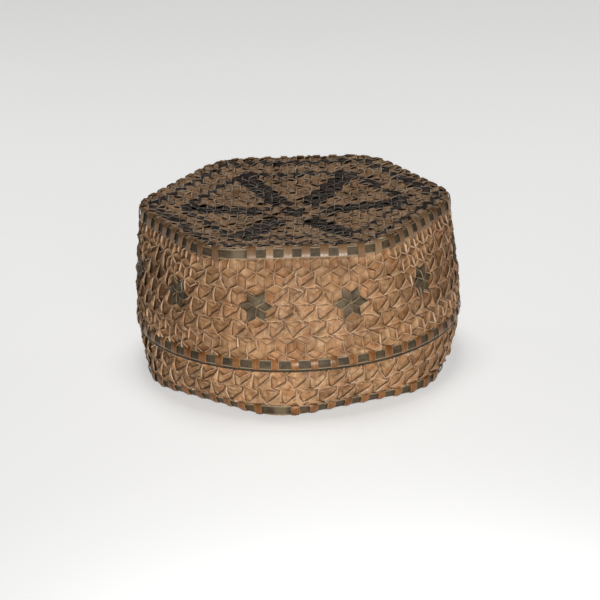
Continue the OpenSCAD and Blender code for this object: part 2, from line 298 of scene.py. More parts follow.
# Painted shade by height: the leaf darkens from the lower height to the upper one, in metres
HEIGHT_SHADE_LOW, HEIGHT_SHADE_HIGH = 0.03, 0.08
SHINE_TINT = (1.0, 0.92, 0.82, 1)
RIB_HEIGHT = 0.0003


def ranged(tree, value, low, high, to_low=0.0, to_high=1.0):
    ends = {"From Min": low, "From Max": high, "To Min": to_low, "To Max": to_high}
    return add(tree, "ShaderNodeMapRange", {"Value": value, **ends}, clamp=True).outputs["Result"]


def mixed(tree, share, a, b, kind="MIX"):
    made = add(tree, "ShaderNodeMix", {"Factor": share}, data_type="RGBA", blend_type=kind)
    feed(tree, made.inputs[6], a)
    feed(tree, made.inputs[7], b)
    return made.outputs[2]


def noise(tree, spot, scale, detail):
    return add(tree, "ShaderNodeTexNoise", {"Vector": spot, "Scale": scale, "Detail": detail}).outputs["Fac"]


def srgb(r, g, b):
    return tuple(((v / 255 + 0.055) / 1.055) ** 2.4 if v > 10 else v / 3295 for v in (r, g, b)) + (1,)


def leaf(name, dull, bright, blush, edge, stain_and_shade, rough, edge_share, shine=0.3, height_shade=0.0, scuff=0.4,
         ribs=0.6):
    made = bpy.data.materials.new(name)
    made.use_nodes = True
    tree = made.node_tree
    shader = tree.nodes["Principled BSDF"]
    shader.inputs["Specular IOR Level"].default_value = shine
    shader.inputs["Specular Tint"].default_value = SHINE_TINT
    fibre = add(tree, "ShaderNodeAttribute", attribute_name="fibre").outputs["Vector"]
    edge_and_shade = add(tree, "ShaderNodeAttribute", attribute_name="edge_and_shade").outputs["Vector"]
    tone = add(tree, "ShaderNodeAttribute", attribute_name="tone").outputs["Fac"]
    part = add(tree, "ShaderNodeSeparateXYZ", {0: fibre})
    painted_marks = add(tree, "ShaderNodeSeparateXYZ", {0: edge_and_shade})
    lines = add(tree, "ShaderNodeCombineXYZ", {
        "X": maths(tree, part.outputs["X"], FIBRE_ACROSS), "Y": maths(tree, part.outputs["Y"], FIBRE_ALONG),
        "Z": maths(tree, tone, FIBRE_SHIFT)}).outputs[0]
    streak = noise(tree, lines, 1.0, 3.0)
    spot = add(tree, "ShaderNodeTexCoord").outputs["Object"]
    cloud = noise(tree, spot, CLOUD_SCALE, 4.0)
    mottle = noise(tree, spot, MOTTLE_SCALE, 2.0)
    height = add(tree, "ShaderNodeSeparateXYZ", {0: spot}).outputs["Z"]
    second = maths(tree, maths(tree, tone, SECOND_TONE), 0.0, "FRACT")
    third = maths(tree, maths(tree, tone, THIRD_TONE), 0.0, "FRACT")

    # From dull to bright by strip and by fibre, with a warmer or cooler cast for each strip
    by_strip, by_fibre = ranged(tree, tone, 0, 1, 0.05, 0.48), ranged(tree, streak, 0.35, 0.65, 0.0, 0.48)
    colour = mixed(tree, maths(tree, by_strip, by_fibre, "ADD"), dull, bright)
    colour = mixed(tree, ranged(tree, second, 0.2, 1.0, 0.1, 0.8), colour, blush, "MULTIPLY")
    # Stains, rubbed specks, and painted shade that darkens the leaf towards the top of the box
    colour = mixed(tree, ranged(tree, cloud, 0.45, 0.72, 0.0, 0.6), colour, stain_and_shade)
    colour = mixed(tree, ranged(tree, mottle, 0.5, 0.75, 0.0, 0.45), colour, stain_and_shade)
    colour = mixed(tree, ranged(tree, mottle, 0.25, 0.48, scuff, 0.0), colour, edge)
    colour = mixed(tree, ranged(tree, height, HEIGHT_SHADE_LOW, HEIGHT_SHADE_HIGH, 0.0, height_shade), colour, stain_and_shade)
    # Painted shade where a strip dives under or lies low, and a pale cut edge that is partly a painted
    # highlight
    low = ranged(tree, painted_marks.outputs["Y"], 0.0, 0.85, 1.0, 0.0)
    colour = mixed(tree, low, colour, stain_and_shade)
    rim = maths(tree, ranged(tree, painted_marks.outputs["X"], 0.78, 1.0), ranged(tree, third, 0.0, 1.0, 0.3, 1.0))
    colour = mixed(tree, maths(tree, rim, edge_share), colour, edge)
    tree.links.new(colour, shader.inputs["Base Color"])
    tree.links.new(ranged(tree, streak, 0.3, 0.7, rough - 0.07, rough + 0.1), shader.inputs["Roughness"])
    bump = add(tree, "ShaderNodeBump", {"Strength": ribs, "Distance": RIB_HEIGHT, "Height": streak})
    tree.links.new(bump.outputs[0], shader.inputs["Normal"])
    return made


tan_leaf = leaf("tan_leaf", dull=srgb(158, 118, 76), bright=srgb(212, 168, 122), blush=srgb(252, 228, 214),
                edge=srgb(232, 202, 170), stain_and_shade=srgb(96, 64, 40), rough=0.5, edge_share=0.8, height_shade=0.12)
# A lighter copy of the tan leaf for the base: painted light, for the brighter light on the base
lit_base_leaf = leaf("lit_base_leaf", dull=srgb(170, 128, 85), bright=srgb(224, 181, 134), blush=srgb(252, 226, 208),
                 edge=srgb(242, 212, 180), stain_and_shade=srgb(92, 60, 36), rough=0.5, edge_share=0.85)
top_leaf = leaf("top_leaf", dull=srgb(152, 119, 87), bright=srgb(206, 169, 131), blush=srgb(248, 230, 218),
                edge=srgb(242, 222, 198), stain_and_shade=srgb(52, 37, 26), rough=0.6, edge_share=0.9, shine=0.2)
dark_leaf = leaf("dark_leaf", dull=srgb(64, 55, 42), bright=srgb(124, 107, 82), blush=srgb(246, 236, 228),
                 edge=srgb(200, 176, 140), stain_and_shade=srgb(24, 20, 15), rough=0.5, edge_share=0.8, shine=0.25,
                 scuff=0.06)
top_dark_leaf = leaf("top_dark_leaf", dull=srgb(52, 46, 42), bright=srgb(92, 82, 75),
                     blush=srgb(240, 230, 238), edge=srgb(206, 194, 178), stain_and_shade=srgb(18, 15, 14), rough=0.6,
                     edge_share=0.85, shine=0.2, scuff=0.14)
wrap_leaf = leaf("wrap_leaf", dull=srgb(124, 80, 41), bright=srgb(173, 121, 71), blush=srgb(250, 222, 198),
                 edge=srgb(208, 172, 130), stain_and_shade=srgb(62, 38, 21), rough=0.28, edge_share=0.45, shine=0.38,
                 scuff=0.2, ribs=0.2)
lining_leaf = leaf("lining_leaf", dull=srgb(140, 104, 70), bright=srgb(190, 150, 112),
                   blush=srgb(248, 225, 210), edge=srgb(200, 170, 138), stain_and_shade=srgb(70, 46, 28), rough=0.55,
                   edge_share=0.5)
print("leaf finishes", len([m for m in bpy.data.materials if "leaf" in m.name]))

# %% [markdown]
# ## One flat strip
# In the flat parts of the weave each strip shows as a rhomb: it comes out from under one strip, arches
# over, and dives under the next. Its two cut edges have dried into raised, pale lips, so the middle of
# every strip lies in a shallow hollow and the weave reads as a pale net. The paleness of the lips is partly
# the cut edge and partly a painted highlight. One such rhomb, with a short skirt along its edges, is all
# that the flat weave needs. Half a cross section is a list of points: place across, height, paleness and
# depth, which paints shade on the skirt and, with the arch, where the strip dives under.

# %% A flat strip
PITCH = 9.35
ROW = PITCH * sin(SIDE)
ALONG = (-0.06, 0.1, 0.32, 0.68, 0.9, 1.06)
PLAIN_ALONG = (-0.08, 0.15, 0.85, 1.08)
ARCH_MIDDLE = 0.51
# Each point: place across, height, paleness (partly a painted highlight), and depth, which is painted shade
# below 1
LIPPED = ((-0.06, -0.5, 0.4, 0.2), (-0.045, 0.6, 0.95, 0.9), (0.015, 1.0, 1.0, 1.0), (0.09, 0.55, 0.7, 1.0),
          (0.28, 0.05, 0.0, 0.85))
PLAIN = ((-0.01, -1.0, 0.5, 0.3), (0.0, 0.0, 1.0, 1.0), (0.5, 0.0, 0.0, 1.0))


def strip_mesh(name, points, faces, fibre, edge_and_shade):
    mesh = bpy.data.meshes.new(name)
    mesh.from_pydata([tuple(p) for p in points], [], faces)
    for label, values in (("fibre", fibre), ("edge_and_shade", edge_and_shade)):
        layer = mesh.attributes.new(label, "FLOAT_VECTOR", "POINT")
        layer.data.foreach_set("vector", np.array(values, np.float32).ravel())
    mesh.polygons.foreach_set("use_smooth", np.ones(len(mesh.polygons), bool))
    made = bpy.data.objects.new(name, mesh)
    scene.collection.objects.link(made)
    return made


def grid_faces(rows, cols):
    return [(r * cols + c, (r + 1) * cols + c, (r + 1) * cols + c + 1, r * cols + c + 1)
            for r in range(rows - 1) for c in range(cols - 1)]


def flat_strip(name, relief, lip, sink, dive=0.3, wide=1.0, along=ALONG, half=LIPPED, pale=1.0):
    side = PITCH / sqrt(3)
    own = np.array([cos(SIDE / 2), sin(SIDE / 2)]) * side
    cross = np.array([cos(SIDE / 2), -sin(SIDE / 2)]) * side
    profile = list(half) + [(1 - q, *rest) for q, *rest in reversed(half) if q < 0.5]
    points, fibre, edge_and_shade = [], [], []
    for t in along:
        arch = 1 - ((t - 0.5) / (along[-1] - ARCH_MIDDLE)) ** 2
        for q, height, edge, depth in profile:
            across, length = 0.5 + (q - 0.5) * wide, 0.5 + (t - 0.5) * wide
            points.append((*(own * length + cross * across), relief * arch + lip * height - sink))
            fibre.append(((across - 0.5) * PITCH / 2, length * side, 0))
            # Paleness at the lips, partly a painted highlight, and painted shade on the skirts and where the
            # strip dives under
            edge_and_shade.append((edge * pale, (arch + dive * (1 - arch)) * depth, 0))
    return strip_mesh(name, points, grid_faces(len(along), len(profile)), fibre, edge_and_shade)


flat_leaf = flat_strip("flat_leaf", relief=0.5, lip=1.05, sink=0.65)
top_flat_leaf = flat_strip("top_flat_leaf", relief=0.75, lip=0.55, sink=0.5, dive=0.0)
ring_leaf = flat_strip("ring_leaf", relief=0.5, lip=0.45, sink=0.0, dive=0.5, wide=1.45)
star_leaf = flat_strip("star_leaf", relief=0.4, lip=0.5, sink=0.05, dive=0.6)
low_leaf = flat_strip("low_leaf", relief=0.45, lip=0.4, sink=0.4, dive=0.4, along=PLAIN_ALONG, half=PLAIN,
                      pale=0.8)
plain_leaf = flat_strip("plain_leaf", relief=0.28, lip=0.2, sink=0.18, along=PLAIN_ALONG, half=PLAIN)
print("faces of a flat strip", len(flat_leaf.data.polygons), "of a plain one", len(plain_leaf.data.polygons))

# %% [markdown]
# ## One raised strip
# Where the weave is raised, three strips arch up over each upward triangle of the lattice and lock into
# each other like a pinwheel. Each strip's outer edge bows up and leaves a slot under it, one end lies over
# its neighbour, and the other end goes under the one before. A single strip is modelled, and three of them,
# turned by a third of a circle, make a tent.

# %% A raised strip
FLAP_ALONG = (0, 0.12, 0.3, 0.5, 0.7, 0.88, 1)
FLAP_ACROSS = (0, 0.12, 0.32, 0.6, 1)
FLAP_LENGTH, FLAP_TIP, FLAP_LIFT, FLAP_SWELL = 1.06, 0.22, 0.5, 0.25
FLAP_FOOT, FLAP_MIDDLE = np.array([0.5, 0.02]), np.array([0.5, tan(SIDE / 2) / 2])
UNDER, OVER = 0.15, 0.4
LEAF_T, LIP_IN, LIP_DOWN = 0.3, 0.12, 0.4
SLOT_OUT, SLOT_IN, SLOT_Z, SLOT_RISE = -0.02, 0.16, 0.1, 0.5
# Paleness and painted shade for the lip, for the part turned under it, and for the cut face of the end
LIP_MARKS, TUCKED_SHADE, END_MARKS = (1.0, 0.7, 0), (0, 0.2, 0), (0.6, 0.2, 0)


def raised_strip(name, rise, twist, bow, skew):
    run, inward = np.array([cos(twist), sin(twist)]), np.array([-sin(twist), cos(twist)])
    points, fibre, edge_and_shade = [], [], []
    # The strip itself, from its outer edge to the tent's middle
    for t in FLAP_ALONG:
        arc, s = max(0, sin(pi * t)), (t - 0.5) * FLAP_LENGTH
        outer = FLAP_FOOT + run * s + inward * bow * max(0, sin(pi * t ** skew)) ** 2
        inner = FLAP_MIDDLE + run * s * FLAP_TIP
        z_outer = UNDER + OVER * t + rise * FLAP_LIFT * arc ** 0.8
        z_inner = rise + LEAF_T + (t - 0.5) * OVER
        for q in FLAP_ACROSS:
            p = outer * (1 - q) + inner * q
            z = z_outer * (1 - q) + z_inner * q + FLAP_SWELL * sin(pi * q) * arc
            points.append((p[0] * PITCH, p[1] * PITCH, z))
            fibre.append((q * PITCH / 2, t * PITCH, 0))
            # Paler towards the outer edge, partly a painted highlight, and painted shade on the lower parts of
            # the strip
            edge_and_shade.append((max(1 - q / 1.05, t ** 8, 0), min(1, 0.5 + z / rise), 0))
    n = len(FLAP_ACROSS)
    faces = grid_faces(len(FLAP_ALONG), n)
    # The thickness of its outer edge, turned in underneath: pale at the lip, and dark with painted shade where
    # it turns under
    first = len(points)
    for r in range(len(FLAP_ALONG)):
        x, y, z = points[r * n]
        points.append((x, y, z - LEAF_T))
        points.append((x + inward[0] * LIP_IN * PITCH, y + inward[1] * LIP_IN * PITCH, z - LIP_DOWN))
        fibre += [fibre[r * n]] * 2
        edge_and_shade += [LIP_MARKS, TUCKED_SHADE]
    for r in range(len(FLAP_ALONG) - 1):
        a, b = first + 2 * r, first + 2 * r + 2
        faces.append((r * n, a, b, (r + 1) * n))
        faces.append((a, a + 1, b + 1, b))
    # The thickness of the end that lies on top, its cut face half pale and darkened with painted shade
    side = len(points)
    end = (len(FLAP_ALONG) - 1) * n
    for c in range(n):
        x, y, z = points[end + c]
        points.append((x, y, z - LEAF_T))
        fibre.append(fibre[end + c])
        edge_and_shade.append(END_MARKS)
    for c in range(n - 1):
        faces.append((end + c, side + c, side + c + 1, end + c + 1))
    # The slot under the outer edge: a floor painted dark as the shade in the slot
    slot = len(points)
    for t in FLAP_ALONG:
        arc, s = max(0, sin(pi * t)), (t - 0.5) * FLAP_LENGTH
        for v in (SLOT_OUT * arc, SLOT_IN * arc):
            p = FLAP_FOOT + run * s + inward * v
            points.append((p[0] * PITCH, p[1] * PITCH, SLOT_Z + SLOT_RISE * arc))
            fibre.append((v * PITCH, t * PITCH, 0))
            edge_and_shade.append(TUCKED_SHADE)
    faces += [(slot + 2 * r, slot + 2 * r + 2, slot + 2 * r + 3, slot + 2 * r + 1)
              for r in range(len(FLAP_ALONG) - 1)]
    return strip_mesh(name, points, faces, fibre, edge_and_shade)


raised_leaves = [raised_strip("open_leaf", rise=1.2, twist=radians(-8), bow=0.12, skew=1.8),
                 raised_strip("half_leaf", rise=1.05, twist=radians(-28), bow=0.08, skew=0.7),
                 raised_strip("shut_leaf", rise=1.0, twist=radians(-20), bow=0.05, skew=0.8)]
print("faces of a raised strip", len(raised_leaves[0].data.polygons))

# %% [markdown]
# ## The node tree that plaits
# Hundreds of strips could be copied one by one in a loop, but a Geometry Nodes tree does it better: it
# takes points with a turn each, sets a flat or a raised strip on every point, with a small random turn,
# tilt and size, gives each a random tone, and makes one mesh of it all. A backing sheet behind the strips
# closes the chinks; it takes the full dark crease colour, painted shade seen through them.

# %% Build the tree
STRIP_KINDS = ("Flat strip", "Open strip", "Half strip", "Shut strip", "Low strip")
FLAT, LOW = 0, 4
RANDOM_MIN, RANDOM_MAX, RANDOM_SEED, RANDOM_VALUE = 2, 3, 8, 1


def socket(tree, label, kind, inside=True):
    tree.interface.new_socket(label, in_out="INPUT" if inside else "OUTPUT", socket_type=kind)


def enabled(sockets, label):
    return next(s for s in sockets if s.enabled and s.name == label)


def random_between(tree, low, high, seed, offset):
    picked = add(tree, "FunctionNodeRandomValue", data_type="FLOAT")
    moved = maths(tree, seed, float(offset), "ADD")
    for at, value in ((RANDOM_MIN, low), (RANDOM_MAX, high), (RANDOM_SEED, moved)):
        feed(tree, picked.inputs[at], value)
    return picked.outputs[RANDOM_VALUE]


def jitter_of(tree, given, label, offset):
    return maths(tree, random_between(tree, -1.0, 1.0, given["Seed"], offset), given[label])


def toned_places(tree, given):
    toned = add(tree, "GeometryNodeStoreNamedAttribute", {"Geometry": given["Places"], "Name": "tone"},
                data_type="FLOAT", domain="POINT")
    tree.links.new(random_between(tree, 0.0, 1.0, given["Seed"], 0), enabled(toned.inputs, "Value"))
    return toned.outputs[0]


def stored(tree, label, kind):
    read = add(tree, "GeometryNodeInputNamedAttribute", {"Name": label}, data_type=kind)
    return enabled(read.outputs, "Attribute")


def pattern(tree, given, label):
    held = add(tree, "GeometryNodeObjectInfo", {"Object": given[label], "As Instance": True})
    return held.outputs["Geometry"]


def close_tree(tree, geometry, given):
    whole = add(tree, "GeometryNodeRealizeInstances", {0: geometry}).outputs[0]
    done = add(tree, "GeometryNodeSetMaterial", {"Geometry": whole, "Material": given["Leaf"]}).outputs[0]
    add(tree, "NodeGroupOutput", {0: done})
    return tree


def plaiting_tree():
    tree = bpy.data.node_groups.new("plaiting", "GeometryNodeTree")
    socket(tree, "Places", "NodeSocketGeometry")
    for label in STRIP_KINDS + ("Backing",):
        socket(tree, label, "NodeSocketObject")
    for label in ("Turn jitter", "Tilt jitter", "Size jitter"):
        socket(tree, label, "NodeSocketFloat")
    socket(tree, "Seed", "NodeSocketInt")
    socket(tree, "Leaf", "NodeSocketMaterial")
    socket(tree, "Plait", "NodeSocketGeometry", False)
    given = add(tree, "NodeGroupInput").outputs
    places = toned_places(tree, given)
    kind = stored(tree, "kind", "INT")
    turn = maths(tree, stored(tree, "turn", "FLOAT"), jitter_of(tree, given, "Turn jitter", 3), "ADD")
    angles = add(tree, "ShaderNodeCombineXYZ", {"X": jitter_of(tree, given, "Tilt jitter", 1),
                                                "Y": jitter_of(tree, given, "Tilt jitter", 2), "Z": turn})
    facing = add(tree, "FunctionNodeEulerToRotation", {0: angles.outputs[0]}).outputs[0]
    size = maths(tree, jitter_of(tree, given, "Size jitter", 4), 1.0, "ADD")
    joined = add(tree, "GeometryNodeJoinGeometry")
    for number, label in enumerate(STRIP_KINDS):
        same = add(tree, "FunctionNodeCompare", data_type="INT", operation="EQUAL")
        tree.links.new(kind, enabled(same.inputs, "A"))
        enabled(same.inputs, "B").default_value = number
        laid = add(tree, "GeometryNodeInstanceOnPoints", {
            "Points": places, "Selection": same.outputs[0], "Instance": pattern(tree, given, label),
            "Rotation": facing, "Scale": size})
        tree.links.new(laid.outputs[0], joined.inputs[0])
    back = add(tree, "GeometryNodeObjectInfo", {"Object": given["Backing"]}).outputs["Geometry"]
    tree.links.new(back, joined.inputs[0])
    return close_tree(tree, joined.outputs[0], given)


plaiting = plaiting_tree()
print("plaiting nodes", len(plaiting.nodes))

# %% Lay a set of strips
SHARP = radians(48)
WALL_BACKING, LINING_BACKING = 0.75, 0.3


def points_object(name, places, values):
    mesh = bpy.data.meshes.new(name)
    mesh.from_pydata([tuple(p) for p in places], [], [])
    for label, (kind, field, data) in values.items():
        mesh.attributes.new(label, kind, "POINT").data.foreach_set(field, data)
    made = bpy.data.objects.new(name, mesh)
    scene.collection.objects.link(made)
    return made


def evaluated_mesh(name, holder, tree, values):
    modifier = holder.modifiers.new("lay", "NODES")
    modifier.node_group = tree
    keys = {i.name: i.identifier for i in tree.interface.items_tree if i.in_out == "INPUT"}
    for label, value in values.items():
        modifier[keys[label]] = value
    bpy.context.view_layer.update()
    graph = bpy.context.evaluated_depsgraph_get()
    mesh = bpy.data.meshes.new_from_object(holder.evaluated_get(graph), preserve_all_data_layers=True,
                                           depsgraph=graph)
    mesh.name = name
    bpy.data.objects.remove(holder)
    return mesh


def coordinates(mesh):
    co = np.zeros(len(mesh.vertices) * 3, np.float32)
    mesh.vertices.foreach_get("co", co)
    return co.reshape(-1, 3).astype(float)


def finished(name, mesh, co, body, slot, node):
    mesh.vertices.foreach_set("co", (co * MM).astype(np.float32).ravel())
    mesh.update()
    mesh.set_sharp_from_angle(angle=SHARP)
    piece = bpy.data.objects.new(name, mesh)
    scene.collection.objects.link(piece)
    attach(piece, body)
    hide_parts(node)
    print(name, "triangles", sum(len(p.vertices) - 2 for p in mesh.polygons))


def laid_strips(name, spots, flat, backing, material, seed, jitter=(0.04, 0.04, 0.03)):
    spots = np.array(spots, float)
    places = np.stack([spots[:, 0] * PITCH, spots[:, 1] * ROW, spots[:, 0] * 0], -1)
    holder = points_object(name + "_places", places, {
        "turn": ("FLOAT", "value", np.radians(spots[:, 2]).astype(np.float32)),
        "kind": ("INT", "value", spots[:, 3].astype(np.int32))})
    values = {"Turn jitter": jitter[0], "Tilt jitter": jitter[1], "Size jitter": jitter[2], "Seed": seed,
              "Leaf": material}
    values.update(zip(STRIP_KINDS, [flat] + raised_leaves + [low_leaf]))
    if backing:
        values["Backing"] = backing
    return evaluated_mesh(name, holder, plaiting, values)


# A sheet behind the strips, painted wholly in the leaf's dark crease colour as the shade seen through the
# chinks
def backing_sheet(name, x_range, y_range, nx, ny, depth):
    xs, ys = np.linspace(*x_range, nx + 1), np.linspace(*y_range, ny + 1)
    points = [(x * PITCH, y * ROW, -depth) for x in xs for y in ys]
    return strip_mesh(name, points, grid_faces(nx + 1, ny + 1), [(p[0], p[1], 0) for p in points],
                      [(0, 0, 0)] * len(points))


print("ready to plait")

# %% [markdown]
# ## The lid's wall
# About six rows of weave show between the lid's two bands. The weave is flat under the top band, above the
# rim band and above each star, and raised in between. The stars are six dark strips around one crossing.
# They make a piece of their own, and the raised tan strips leave those places free.

# %% Plait the lid's wall
STAR_PLACES = (-12, -7, -2, 3, 8, 13, 18, 23, 28, 33, 38)
STAR_Z, STAR_SIZE, STAR_LIFT = 58.4, 0.89, 0.2
STAR_HOLLOW, HOLLOW_SHARE, HOLLOW_FADE = 1.0, 2.2, 4.5
STAR_JITTER = (0.02, 0.02, 0.02)
LID_ROWS = range(-4, 4)
RAISED_FROM = {-2: 0.0, -1: 0.8, 0: 1.0, 1: 1.6}
OPENINGS = {0: (1, 1, 1, 3), 120: (2, 2, 2, 1), 240: (3, 3, 3, 2)}
TURNS = (0, 60, 120)
LID_BANDS = ((20.0, LID_RIM_Z + 5.8), (81.3, 90.0))
LID_WEAVE_LOW, LID_WEAVE_HIGH = LID_RIM_Z + 0.8, 85.0
TUCK_OUT, TUCK_SLOPE, TUCK_REACH = 0.05, 0.4, 0.5
WAVES = 9
BROAD_TURNS, BROAD_SLANT = (12, 58), 0.7
FINE_TURNS, FINE_SLANT = (50, 130), 1.5
RAISED_OVER = 0.5
AROUND, LID_SPAN, LID_CELLS = (0, COLUMNS), (-4.0, 3.2), (162, 10)


def star_distance(col):
    return min(abs((col - s + COLUMNS / 2) % COLUMNS - COLUMNS / 2) for s in STAR_PLACES)


def tent(i, j, picks):
    corners = (((i, j, 0), (i + j / 2, j, 0)), ((i + 1, j, 120), (i + 1 + j / 2, j, 120)),
               ((i, j, 60), (i + (j + 1) / 2, j + 1, 240)))
    return [(key, (*spot, OPENINGS[spot[2]][picks.integers(4)])) for key, spot in corners]


def wall_strips(rows, raised_at, seed):
    found = []
    picks = np.random.default_rng(seed)
    for j in rows:
        for i in range(COLUMNS):
            raised = raised_at(i + 0.5 + j / 2, j)
            for step, d in ((0, 0), (0, 60), (1, 120)):
                key = ((i + step) % COLUMNS, j, d)
                found.append((key, (i + step + j / 2, j, d, LOW if raised else FLAT)))
            if raised:
                found += [((key[0] % COLUMNS, *key[1:]), spot) for key, spot in tent(i, j, picks)]
    return found


def star_links(place):
    i = place % COLUMNS
    before, after = (i - 1) % COLUMNS, (i + 1) % COLUMNS
    return {(i, 0, 0), (i, 0, 60), (i, 0, 120), (before, 0, 0), (i, -1, 60), (after, -1, 120)}


def lid_raised(col, j):
    return j in RAISED_FROM and star_distance(col) >= RAISED_FROM[j]


def waves(co, picks, turns, slant):
    total = np.zeros(len(co))
    for _ in range(WAVES):
        around = 2 * pi * picks.integers(*turns) * co[:, 0] / (COLUMNS * PITCH)
        total += np.sin(around + picks.uniform(-slant, slant) * co[:, 1] + picks.uniform(0, 2 * pi))
    return total * sqrt(2 / WAVES)


def uneven(co, seed, shift=0.16, swell=0.2, crumple=0.32):
    picks = np.random.default_rng(seed)
    moved = co.copy()
    raised = np.clip(co[:, 2] - RAISED_OVER, 0, 1)
    for axis, size, fold in ((0, shift, crumple), (1, shift, crumple), (2, swell, crumple / 2)):
        moved[:, axis] += size * waves(co, picks, BROAD_TURNS, BROAD_SLANT)
        moved[:, axis] += fold * raised * waves(co, picks, FINE_TURNS, FINE_SLANT)
    return moved


def behind_bands(z, out, bands):
    for low, high in bands:
        inside = np.minimum(z - low, high - z)
        tucked = np.minimum(out, TUCK_OUT - TUCK_SLOPE * np.minimum(inside, TUCK_REACH))
        out = np.where(inside > 0, tucked, out)
    return out


def roll_on_lid(co):
    co = uneven(co, 61)
    z = np.clip(STAR_Z + co[:, 1], LID_WEAVE_LOW, LID_WEAVE_HIGH)
    return lid_place(co[:, 0] / PITCH, z, behind_bands(z, co[:, 2], LID_BANDS))


def from_star(co):
    aways = [(co[:, 0] / PITCH - p + COLUMNS / 2) % COLUMNS - COLUMNS / 2 for p in STAR_PLACES]
    nearest = np.argmin(np.abs(aways), axis=0)
    return np.array(STAR_PLACES)[nearest], np.array(aways)[nearest, np.arange(len(co))]


def shrunk_stars(co):
    nearest, away = from_star(co)
    return np.stack([(nearest + away * STAR_SIZE) * PITCH, co[:, 1] * STAR_SIZE, co[:, 2] + STAR_LIFT], -1)


def hollow_under_stars(co):
    gone = np.hypot(from_star(co)[1] * PITCH, co[:, 1])
    co[:, 2] -= STAR_HOLLOW * np.clip(HOLLOW_SHARE - gone / HOLLOW_FADE, 0, 1)
    return co


lid_strips = wall_strips(LID_ROWS, lid_raised, 5)
starred = set().union(*(star_links(p) for p in STAR_PLACES))
tan_spots = [spot for key, spot in lid_strips if key not in starred or spot[3] == FLAT]
star_spots = [spot for key, spot in lid_strips if key in starred]
lid_backing = backing_sheet("lid_backing", AROUND, LID_SPAN, *LID_CELLS, WALL_BACKING)
mesh = laid_strips("lid_wall_plait", tan_spots, flat_leaf, lid_backing, tan_leaf, 11)
co = roll_on_lid(hollow_under_stars(coordinates(mesh)))
finished("lid_wall_plait", mesh, co, "lid", "tan_leaf", "lid_wall")
mesh = laid_strips("lid_stars", star_spots, star_leaf, None, dark_leaf, 12, STAR_JITTER)
co = roll_on_lid(shrunk_stars(coordinates(mesh)))
finished("lid_stars", mesh, co, "lid", "dark_leaf", "lid_wall_stars")

# %% [markdown]
# ## The lid's top
# The top is one six-sided sheet of the same weave, a little finer and dished in the middle, with ten steps
# of the lattice from the middle to each corner. Counting steps from the middle tells which strips are dark:
# two rings, six spokes towards the corners, and a star in the middle. Each set of dark strips is a piece of
# its own.

# %% Plait the lid's top
TOP_STEPS = 10
TOP_PITCH = 8.35
STEP = {0: (1, 0), 60: (0, 1), 120: (-1, 1)}
OUTER_STEP, INNER_STEP = 9, 7
SPOKE_FROM, SPOKE_TO = 2, 6
TOP_MARGIN = 0.3
TOP_SHIFT, TOP_SWELL = 0.2, 0.12
TOP_JITTER = (0.08, 0.08, 0.06)
TOP_SPAN, TOP_CELLS = (-11, 11), 44


def steps_from_middle(i, j):
    return max(abs(i), abs(j), abs(i + j))


def on_spoke(i, j):
    return i == 0 or j == 0 or i + j == 0


def top_kind(link):
    i, j, d = link
    di, dj = STEP[d]
    a, b = steps_from_middle(i, j), steps_from_middle(i + di, j + dj)
    if 0 in (a, b):
        return "star"
    if a == b == OUTER_STEP:
        return "outer"
    if a == b == INNER_STEP:
        return "inner"
    ends = [(i, j, a), (i + di, j + dj, b)]
    if any(on_spoke(*e[:2]) and SPOKE_FROM <= e[2] <= SPOKE_TO for e in ends) and min(a, b) >= SPOKE_FROM:
        return "spokes"
    return "tan"


def top_strips():
    found = []
    n = TOP_STEPS + 1
    for i in range(-n, n + 1):
        for j in range(-n, n + 1):
            for d in TURNS:
                di, dj = STEP[d]
                if steps_from_middle(2 * i + di, 2 * j + dj) <= 2 * TOP_STEPS:
                    found.append(((i, j, d), (i + j / 2, j, d, FLAT)))
    return found


def lay_on_top(co):
    co = uneven(co, 63, TOP_SHIFT, TOP_SWELL)
    k = TOP_PITCH / PITCH
    x, y = kept_inside(co[:, 0] * k, co[:, 1] * k, LID_FLAT - TOP_MARGIN, LID_CORNER - TOP_MARGIN)
    return np.stack([x, y, dish(x, y) + co[:, 2]], -1)


top_all = top_strips()
top_backing = backing_sheet("top_backing", TOP_SPAN, TOP_SPAN, TOP_CELLS, TOP_CELLS, WALL_BACKING)
for kind, piece_name, node, shape, seed in (
        ("tan", "lid_top_plait", "lid_top", top_flat_leaf, 21),
        ("outer", "top_outer_ring", "lid_top_outer_ring", ring_leaf, 22),
        ("inner", "top_inner_ring", "lid_top_inner_ring", ring_leaf, 23),
        ("spokes", "top_spokes", "lid_top_spokes", top_flat_leaf, 24),
        ("star", "top_star", "lid_top_star", top_flat_leaf, 25)):
    spots = [spot for key, spot in top_all if top_kind(key) == kind]
    backing, material, slot = None, top_dark_leaf, "dark_leaf"
    if kind == "tan":
        backing, material, slot = top_backing, top_leaf, "tan_leaf"
    mesh = laid_strips(piece_name, spots, shape, backing, material, seed, TOP_JITTER)
    finished(piece_name, mesh, lay_on_top(coordinates(mesh)), "lid", slot, node)

# %% [markdown]
# ## The base's wall
# Only the lower third of the base shows. There the weave is raised, in two rows. Under the lid it has to be
# flat, so that the lid slides over it.

# %% Plait the base's wall
BASE_ROWS = range(-1, 8)
BASE_ROW_Z = 6.3
BASE_RAISED = (0, 1)
BASE_BANDS = ((-5.0, 6.0), (63.2, 75.0))
BASE_WEAVE_LOW, BASE_WEAVE_HIGH = 1.75, 68.3
SLIDE_FROM, SLIDE_DROP, SLIDE_OUT = LID_RIM_Z - 1, 0.1, 0.16
BASE_SPAN, BASE_CELLS = (-0.55, 7.7), (162, 14)


def base_raised(col, j):
    return j in BASE_RAISED


